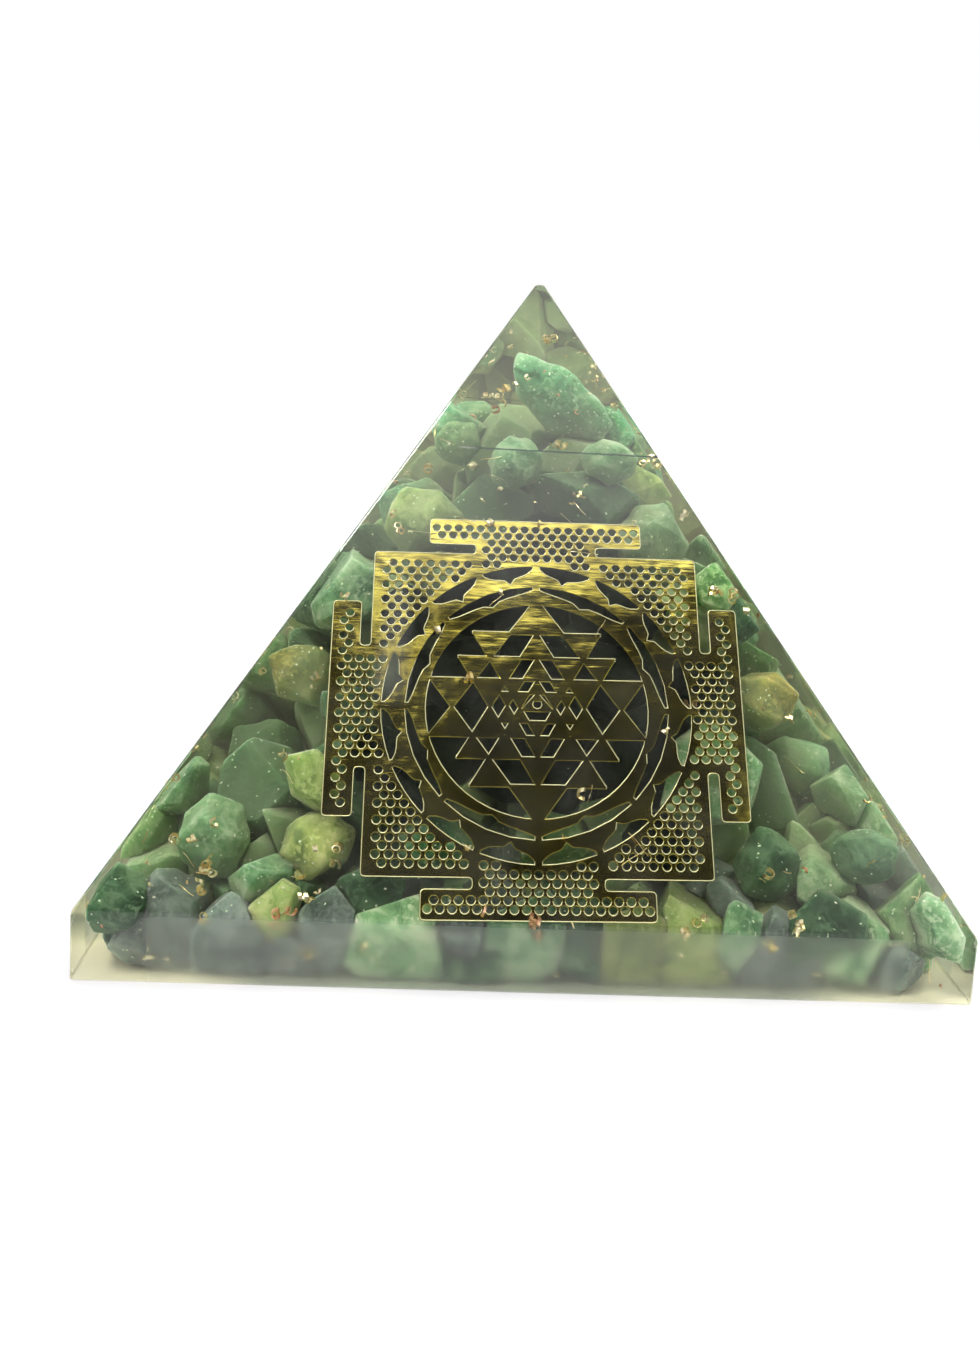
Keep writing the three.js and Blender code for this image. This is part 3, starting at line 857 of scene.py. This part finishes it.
def add_outline(points):
    """Draws one closed line of the sheet: its edge or an opening."""
    outlines.append(points)
    spline = curve.splines.new("POLY")
    spline.points.add(len(points) - 1)
    for item, flat in zip(spline.points, points):
        item.co = (flat[0], flat[1], 0, 1)
    spline.use_cyclic_u = True


for loop in loops:
    add_outline([in_plate(point) for point in loop])
for u, v in hole_rows():
    ring = []
    for step in range(hole_corners):
        angle = math.tau * step / hole_corners
        ring.append((u * MM + hole_radius * math.cos(angle), v * MM + hole_radius * math.sin(angle)))
    add_outline(ring)


def curve_mesh(drawn):
    """The mesh that a curve makes."""
    holder = bpy.data.objects.new("drawn", drawn)
    bpy.context.scene.collection.objects.link(holder)
    bpy.context.view_layer.update()
    made = bpy.data.meshes.new_from_object(holder.evaluated_get(bpy.context.evaluated_depsgraph_get()))
    bpy.data.objects.remove(holder)
    return made


plate = bmesh.new()
plate.from_mesh(curve_mesh(curve))
bmesh.ops.remove_doubles(plate, verts=plate.verts, dist=0.0005 * MM)


def turn_about(points):
    """Twice the area inside a closed line, above zero where it runs anticlockwise."""
    return sum(a[0] * b[1] - b[0] * a[1] for a, b in zip(points, points[1:] + points[:1]))


def upper_side(points):
    """The parts of an opening's edge that look up or sideways, as open lines: there a rim is drawn, as a
    painted highlight.
    """
    if turn_about(points) < 0:
        points = points[::-1]
    ahead = points[1:] + points[:1]
    raised = [b[0] - a[0] > -rim_turns * math.dist(a, b) for a, b in zip(points, ahead)]
    runs = []
    first = next(number for number in range(len(points)) if raised[number] and not raised[number - 1])
    for step in range(len(points)):
        number = (first + step) % len(points)
        if raised[number]:
            if not raised[number - 1]:
                runs.append([points[number]])
            runs[-1].append(ahead[number])
    return runs


rims = bpy.data.curves.new("plate_rims", "CURVE")
rims.dimensions = "2D"
rims.fill_mode = "NONE"
rims.bevel_depth = bead_radius
rims.bevel_resolution = 0
rims.use_fill_caps = True
outer = max(outlines, key=lambda points: abs(turn_about(points)))
for points in outlines:
    thickest = 1 if len(points) != hole_corners else hole_bead
    # Each opening gets a rim only along its parts that look up or sideways: a painted highlight.
    runs = [points] if points is outer else upper_side(points)
    for run in runs:
        spline = rims.splines.new("POLY")
        spline.points.add(len(run) - 1)
        spline.use_cyclic_u = points is outer
        for number, (item, flat) in enumerate(zip(spline.points, run)):
            item.co = (flat[0], flat[1], 0, 1)
            taper = math.sin(math.pi * (number + 0.5) / len(run))
            item.radius = thickest * (1 if points is outer else min(1, bead_end + 1.2 * taper))
beads = bmesh.new()
beads.from_mesh(curve_mesh(rims))
bmesh.ops.translate(beads, vec=(0, 0, sheet_thickness / 2 - bead_sunk), verts=beads.verts)
for face in beads.faces:
    face.smooth = True
bead_mesh = bpy.data.meshes.new("beads")
beads.to_mesh(bead_mesh)
beads.free()
plate.from_mesh(bead_mesh)
lie = Matrix((face_right, face_up, face_out)).transposed().to_4x4()
lie.translation = lie.to_3x3() @ Vector((*flat_middle, face_distance - sheet_thickness / 2))
bmesh.ops.transform(plate, matrix=lie @ Matrix.Rotation(plate_tilt, 4, "Z"), verts=plate.verts)

# Brass, brushed and a little tarnished: an olive gold mirror with fine scratches along the sheet,
# drawn coarser than real ones so that they show, and shallow dents that break what it mirrors. Its
# raised rims are matt, and painted paler as a painted highlight.
dent_size = 3.5 * MM
dent_depth = 0.07 * MM
scratch_length = 2.381 * MM
scratch_width = 0.3846 * MM
scratch_depth = 0.05 * MM
tarnish_size = 6.25 * MM
brass = new_material("brushed_brass")
where = add(brass, "ShaderNodeTexCoord").outputs["Object"]
stretched = add(
    brass, "ShaderNodeMapping", {"Scale": (1 / scratch_length, 1 / scratch_width, 1 / scratch_width)},
    {"Vector": where},
)
scratches = add(
    brass, "ShaderNodeTexNoise", {"Scale": 1.0, "Detail": 3.0},
    {"Vector": stretched.outputs["Vector"]},
)
patches = add(
    brass, "ShaderNodeTexNoise", {"Scale": 1 / tarnish_size, "Detail": 3.0},
    {"Vector": where},
)
tarnish = add(brass, "ShaderNodeValToRGB", {}, {"Fac": patches.outputs["Fac"]})
tarnish.color_ramp.elements[0].position = 0.3
tarnish.color_ramp.elements[0].color = linear("9c8c3a")
tarnish.color_ramp.elements[1].position = 0.7
tarnish.color_ramp.elements[1].color = linear("f0e070")
depth = add(brass, "ShaderNodeVectorMath", {"operation": "DOT_PRODUCT", 1: face_out}, {0: where})
matt_rim_and_highlight = add(
    brass, "ShaderNodeMapRange",
    {"From Min": face_distance + rim_starts, "From Max": face_distance + 2 * rim_starts},
    {"Value": depth.outputs["Value"]},
)
# Painted highlight: the rims are painted a pale brass over the tarnished sheet.
coloured = add(
    brass, "ShaderNodeMix", {"data_type": "RGBA", 7: linear("fbf6cc")},
    {0: matt_rim_and_highlight.outputs["Result"], 6: tarnish.outputs["Color"]},
)
polish = add(
    brass, "ShaderNodeMapRange", {"To Min": 0.04, "To Max": 0.12},
    {"Value": scratches.outputs["Fac"]},
)
dullness = add(
    brass, "ShaderNodeMix", {3: 0.32},
    {0: matt_rim_and_highlight.outputs["Result"], 2: polish.outputs["Result"]},
)
dents = add(brass, "ShaderNodeTexNoise", {"Scale": 1 / dent_size, "Detail": 2.0}, {"Vector": where})
dented = add(
    brass, "ShaderNodeBump", {"Strength": 1.0, "Distance": dent_depth},
    {"Height": dents.outputs["Fac"]},
)
brushing = add(
    brass, "ShaderNodeBump", {"Strength": 0.18, "Distance": scratch_depth},
    {"Height": scratches.outputs["Fac"], "Normal": dented.outputs["Normal"]},
)
metal = add(
    brass, "ShaderNodeBsdfPrincipled", {"Metallic": 1.0},
    {
        "Base Color": coloured.outputs[2], "Roughness": dullness.outputs[0],
        "Normal": brushing.outputs["Normal"],
    },
)
add(brass, "ShaderNodeOutputMaterial", {}, {"Surface": metal.outputs["BSDF"]})
make_piece("yantra_plate", plate, brass, ["shri_yantra_plate"])

# The metal turnings
# Curled swarf from a lathe, strewn into each pour: thin strips of brass and copper, twisted into
# short coils up to 2.5 mm long. Those of the CAD are the larger ones, and the rest are fine flecks.
stain_size = 1.4286 * MM
strip_flatness = 0.28
flecks = {"brass": 640, "copper": 90}
on_plinth = 0.12
left_off_plate = 0.75
plate_from = 6 * MM
plate_to = 35 * MM


# Swarf, bright as it was cut: pale metal that glints, with a duller bloom in patches.
def swarf(name, base, dull):
    """The material of the turnings of one metal."""
    material = new_material(name)
    spot = add(material, "ShaderNodeTexCoord").outputs["Object"]
    stain = add(
        material, "ShaderNodeTexNoise", {"Scale": 1 / stain_size, "Detail": 2.0},
        {"Vector": spot},
    )
    shade = add(material, "ShaderNodeValToRGB", {}, {"Fac": stain.outputs["Fac"]})
    shade.color_ramp.elements[0].position, shade.color_ramp.elements[0].color = 0.35, linear(dull)
    shade.color_ramp.elements[1].position, shade.color_ramp.elements[1].color = 0.6, linear(base)
    shine = add(
        material, "ShaderNodeBsdfPrincipled", {"Metallic": 1.0, "Roughness": 0.28},
        {"Base Color": shade.outputs["Color"]},
    )
    add(material, "ShaderNodeOutputMaterial", {}, {"Surface": shine.outputs["BSDF"]})
    return material


swarf_materials = {
    "brass": swarf("brass_swarf", "fff3d0", "f0d48a"),
    "copper": swarf("copper_swarf", "ffd2b0", "dd9d74"),
}


def add_curl(builder, centre, length, width, coil, turns, turn):
    """One curl: a thin strip of a few dozen faces, spun along a short helix."""
    steps = max(4, int(8 * turns))
    curl = bmesh.new()
    stand = Matrix.Translation((coil, 0, -length / 2)) @ Matrix.Rotation(math.pi / 2, 4, "X")
    section = stand @ Matrix.Diagonal((width * strip_flatness, width, 1, 1))
    bmesh.ops.create_grid(curl, x_segments=1, y_segments=1, size=0.5, matrix=section)
    bmesh.ops.spin(
        curl, geom=list(curl.verts) + list(curl.edges) + list(curl.faces), axis=(0, 0, 1),
        cent=(0, 0, 0), dvec=(0, 0, length / steps), angle=turns * math.tau, steps=steps, use_merge=False,
    )
    bmesh.ops.transform(curl, matrix=Matrix.Translation(centre) @ turn.to_4x4(), verts=curl.verts)
    wound = bpy.data.meshes.new("wound")
    curl.to_mesh(wound)
    curl.free()
    builder.from_mesh(wound)
    bpy.data.meshes.remove(wound)


# Where the photograph shows a cluster of curls, in millimetres.
SEEN_CURLS = [
    (0.8, -3.0, 50.4), (-3.7, -7.0, 44.8), (-2.7, -6.5, 45.5), (0.1, -35.1, 5.0), (13.1, -34.7, 5.9),
    (21.3, -34.8, 5.6), (-16.2, -31.6, 9.8), (-17.5, -33.6, 7.3), (-26.2, -33.2, 7.6), (-28.3, -31.1, 10.8),
    (-25.4, -33.0, 8.0), (-19.6, -35.0, 5.4), (-12.6, -15.2, 33.2), (10.5, -10.6, 39.7), (15.9, -18.3, 28.8),
    (17.7, -18.3, 28.9),
]
curl_random = random.Random(5)
turning_slots = {
    part["node"]: part["material_slot"].replace("turning_", "") for part in frame["record"]["subparts"]
    if part["node"].startswith("metal_turning_")
}
for metal_name, material in swarf_materials.items():
    curls = bmesh.new()
    nodes = [node for node, kind in turning_slots.items() if kind == metal_name]
    for node in nodes:
        corner_low, corner_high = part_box(node)
        turn = Euler((math.radians(90), 0, curl_random.uniform(0, math.tau))).to_matrix()
        add_curl(curls, (corner_low + corner_high) / 2, 1.8 * MM, 0.4 * MM, 0.4 * MM, 2, turn)
    for number, place in enumerate(SEEN_CURLS):
        if (number % 8 == 3) == (metal_name == "copper"):
            for _ in range(3):
                turn = Euler([curl_random.uniform(0, math.tau) for _ in range(3)]).to_matrix()
                spot = Vector(place) + Vector([curl_random.gauss(0, 0.5) for _ in range(3)])
                spot.y = max(spot.y, 0.9 - min(half_width_at(spot.z * MM), shoulder_half) / MM)
                add_curl(curls, spot * MM, curl_random.uniform(0.4, 1.4) * MM, 0.3 * MM, 0.3 * MM, 1.4, turn)
    for _ in range(flecks[metal_name]):
        quarter = Matrix.Rotation(math.pi / 2 * curl_random.randrange(4), 3, "Z")
        share = math.sqrt(curl_random.uniform(0.004, 1))
        over_plate = False
        if curl_random.random() < on_plinth:
            spot = Vector((curl_random.uniform(-34, 34), -35.5, curl_random.uniform(1, 5))) * MM
            out = Vector((0, -1, 0))
        else:
            tall = high.z - share * (high.z - plinth_height)
            half = half_width_at(tall)
            spot = Vector((curl_random.uniform(-0.97, 0.97) * half, -half, tall))
            out = face_out
            over_plate = abs(spot.x) < plate_reach and plate_from < tall < plate_to
        tilt = 0.25 if over_plate else 0.9
        shallow, deepest = (0.3, 0.5) if over_plate else (0.5, 1.4)
        spot = quarter @ (spot - out * curl_random.uniform(shallow, deepest) * MM)
        if over_plate and curl_random.random() < left_off_plate:
            continue
        flat = Matrix.Rotation(curl_random.uniform(0, math.tau), 3, "Z")
        flat = flat @ Matrix.Rotation(math.pi / 2, 3, "X")
        lean = Euler([curl_random.uniform(-tilt, tilt) for _ in range(3)]).to_matrix()
        turn = quarter @ out.to_track_quat("Z", "Y").to_matrix() @ lean @ flat
        if curl_random.random() < 0.25:
            long, wide = curl_random.uniform(0.8, 2.4), curl_random.uniform(0.12, 0.24)
            coil, turns = curl_random.uniform(0.04, 0.15), 0.5
        elif curl_random.random() < 0.5:
            long, wide = curl_random.uniform(0.2, 0.9), curl_random.uniform(0.18, 0.4)
            coil, turns = curl_random.uniform(0.18, 0.4), curl_random.uniform(0.5, 1.8)
        else:
            long, wide = curl_random.uniform(0.1, 0.5), curl_random.uniform(0.12, 0.28)
            coil, turns = curl_random.uniform(0.08, 0.2), curl_random.uniform(0.3, 1)
        add_curl(curls, spot, long * MM, wide * MM, coil * MM, turns, turn)
    bmesh.ops.recalc_face_normals(curls, faces=curls.faces)
    make_piece("curls_of_" + metal_name, curls, material, nodes)

# The floor and the light
# A wide white table in a white studio, lit by a broad softbox from the front left and a softer lamp
# from behind on the right.
table_gap = 0.02 * MM
table_reach = 40
floor_builder = bmesh.new()
bmesh.ops.create_grid(
    floor_builder, x_segments=1, y_segments=1, size=table_reach,
    matrix=Matrix.Translation((0, 0, -table_gap)),
)
floor_mesh = bpy.data.meshes.new("floor")
floor_builder.to_mesh(floor_mesh)
floor_builder.free()
floor = bpy.data.objects.new("floor", floor_mesh)

# A matt white table top. Where it's seen, straight or in a mirror, it glows a little, so that it
# runs into the white room without an edge.
floor_material = new_material("white_table")
table_look = add(floor_material, "ShaderNodeBsdfDiffuse", {"Color": (0.56, 0.55, 0.57, 1)})
floor_path = add(floor_material, "ShaderNodeLightPath")
mirrored = add(
    floor_material, "ShaderNodeMath", {"operation": "MAXIMUM"},
    {0: floor_path.outputs["Is Camera Ray"], 1: floor_path.outputs["Is Glossy Ray"]},
)
seen = add(
    floor_material, "ShaderNodeMath", {"operation": "MAXIMUM"},
    {0: mirrored.outputs["Value"], 1: floor_path.outputs["Is Transmission Ray"]},
)
glow = add(
    floor_material, "ShaderNodeMath", {"operation": "MULTIPLY", 1: 0.12},
    {0: seen.outputs["Value"]},
)
table_glow = add(
    floor_material, "ShaderNodeEmission", {"Color": (1, 1, 1, 1)},
    {"Strength": glow.outputs["Value"]},
)
table_sum = add(
    floor_material, "ShaderNodeAddShader", {},
    {0: table_look.outputs["BSDF"], 1: table_glow.outputs["Emission"]},
)
add(floor_material, "ShaderNodeOutputMaterial", {}, {"Surface": table_sum.outputs["Shader"]})
floor_mesh.materials.append(floor_material)
bpy.context.scene.collection.objects.link(floor)

lamp_data = bpy.data.lights.new("softbox", "SUN")
lamp_data.energy = 1.7
lamp_data.angle = math.radians(16)
lamp = bpy.data.objects.new("softbox", lamp_data)
lamp.rotation_euler = Vector((0.324, 0.187, -0.927)).to_track_quat("-Z", "Y").to_euler()
bpy.context.scene.collection.objects.link(lamp)

back_data = bpy.data.lights.new("back_light", "SUN")
back_data.energy = 0.8
back_data.angle = math.radians(20)
back_light = bpy.data.objects.new("back_light", back_data)
back_light.rotation_euler = Vector((-0.35, -0.3, -0.89)).to_track_quat("-Z", "Y").to_euler()
bpy.context.scene.collection.objects.link(back_light)

# The room is white low down, behind and at the sides, and dim in front above the camera. The plate
# mirrors that dim part, the bright ceiling over it, and one narrow bright panel to the left in it.
world = bpy.data.worlds.new("studio")
bpy.context.scene.world = world
world.use_nodes = True
world.node_tree.nodes.clear()
direction = add(world, "ShaderNodeTexCoord").outputs["Generated"]
axes = add(world, "ShaderNodeSeparateXYZ", {}, {"Vector": direction})
overhead = add(
    world, "ShaderNodeMapRange",
    {
        "interpolation_type": "SMOOTHSTEP", "From Min": 0.836, "From Max": 0.9, "To Min": 0.02,
        "To Max": 2.5,
    },
    {"Value": axes.outputs["Z"]},
)
to_left = add(
    world, "ShaderNodeMapRange", {"From Min": -0.03, "From Max": -0.045},
    {"Value": axes.outputs["X"]},
)
high_up = add(
    world, "ShaderNodeMapRange", {"From Min": 0.79, "From Max": 0.805, "To Max": 1.6},
    {"Value": axes.outputs["Z"]},
)
leaning = add(
    world, "ShaderNodeMath", {"operation": "MULTIPLY_ADD", 1: -4.0},
    {0: axes.outputs["X"], 2: axes.outputs["Z"]},
)
cut_off = add(
    world, "ShaderNodeMapRange", {"From Min": 1.11, "From Max": 1.06},
    {"Value": leaning.outputs["Value"]},
)
strip = add(
    world, "ShaderNodeMath", {"operation": "MULTIPLY"},
    {0: to_left.outputs["Result"], 1: high_up.outputs["Result"]},
)
panel = add(
    world, "ShaderNodeMath", {"operation": "MULTIPLY"},
    {0: strip.outputs["Value"], 1: cut_off.outputs["Result"]},
)
behind = add(
    world, "ShaderNodeMapRange", {"From Min": -0.12, "From Max": 0.05},
    {"Value": axes.outputs["Y"]},
)
sideways = add(world, "ShaderNodeMath", {"operation": "ABSOLUTE"}, {0: axes.outputs["X"]})
beside = add(
    world, "ShaderNodeMapRange", {"From Min": 0.3, "From Max": 0.42, "To Max": 1.1},
    {"Value": sideways.outputs["Value"]},
)
low_down = add(
    world, "ShaderNodeMapRange", {"From Min": 0.5, "From Max": 0.42},
    {"Value": axes.outputs["Z"]},
)
below = add(
    world, "ShaderNodeMath", {"operation": "MAXIMUM"},
    {0: low_down.outputs["Result"], 1: behind.outputs["Result"]},
)
around = add(
    world, "ShaderNodeMath", {"operation": "MAXIMUM"},
    {0: beside.outputs["Result"], 1: below.outputs["Value"]},
)
upper_room = add(
    world, "ShaderNodeMath", {"operation": "MAXIMUM"},
    {0: overhead.outputs["Result"], 1: around.outputs["Value"]},
)
room = add(
    world, "ShaderNodeMath", {"operation": "MAXIMUM"},
    {0: upper_room.outputs["Value"], 1: panel.outputs["Value"]},
)
sky = add(world, "ShaderNodeBackground", {"Color": (1, 1, 1, 1)}, {"Strength": room.outputs["Value"]})
add(world, "ShaderNodeOutputWorld", {}, {"Surface": sky.outputs["Background"]})

bpy.context.scene.view_settings.view_transform = "Standard"
